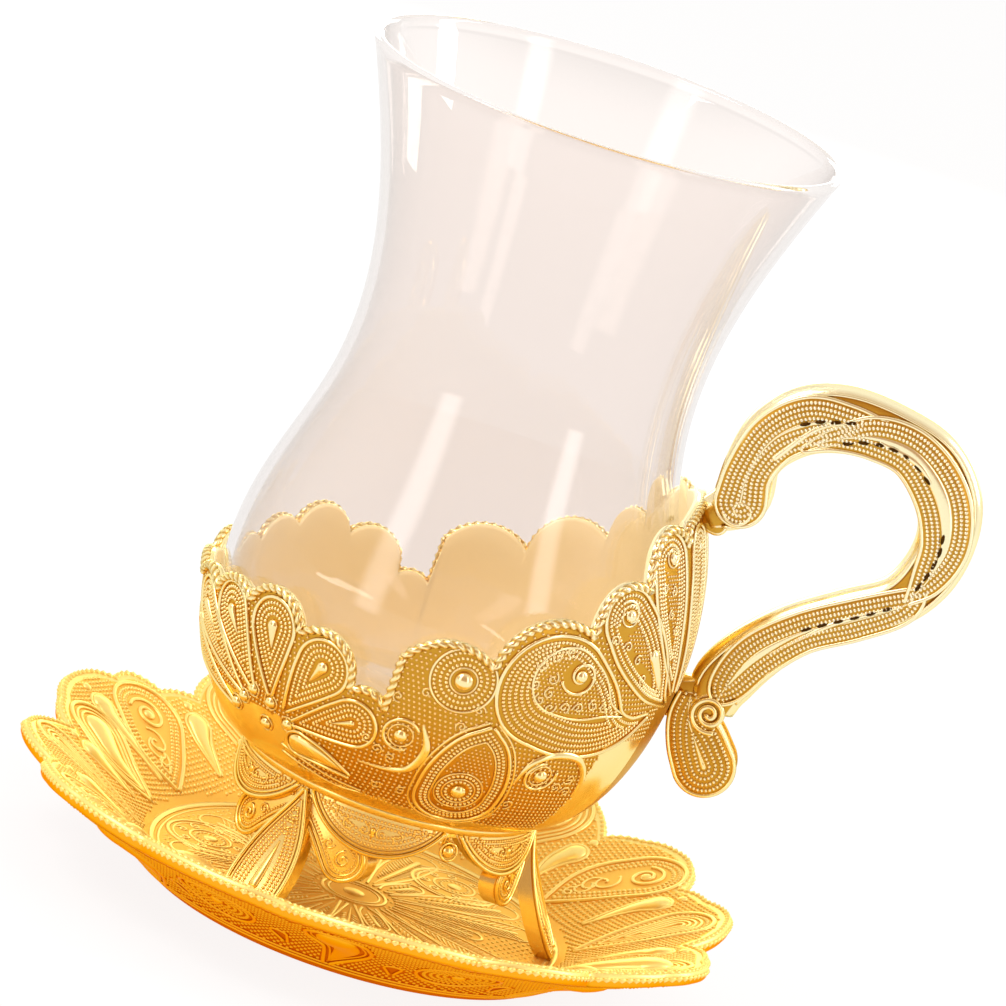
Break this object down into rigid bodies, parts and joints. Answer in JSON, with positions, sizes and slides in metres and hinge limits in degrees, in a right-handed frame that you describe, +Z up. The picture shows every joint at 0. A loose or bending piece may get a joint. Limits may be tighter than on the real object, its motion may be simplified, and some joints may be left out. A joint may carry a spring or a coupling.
{
  "type": "glass teacup with filigree holder and saucer",
  "caption": "Tulip-shaped tea glass standing in a cast filigree holder with a looped handle and leaf feet, on a lobed saucer.",
  "frame": {"origin": "middle of the saucer's flat underside", "axes": "+Z up along the glass, +X towards the handle"},
  "size_m": [0.1158, 0.1049, 0.1192],
  "materials": {
    "clear_glass": "fire polished",
    "gold_plated_casting": "bright gold plate on a zinc casting",
    "gold_plated_saucer": "satin gold plate on a zinc casting"
  },
  "bodies": {
    "root": {"saucer": "gold_plated_saucer", "stand": "gold_plated_casting", "bowl": "gold_plated_casting", "handle": "gold_plated_casting", "glass": "clear_glass"}
  },
  "joints": []
}
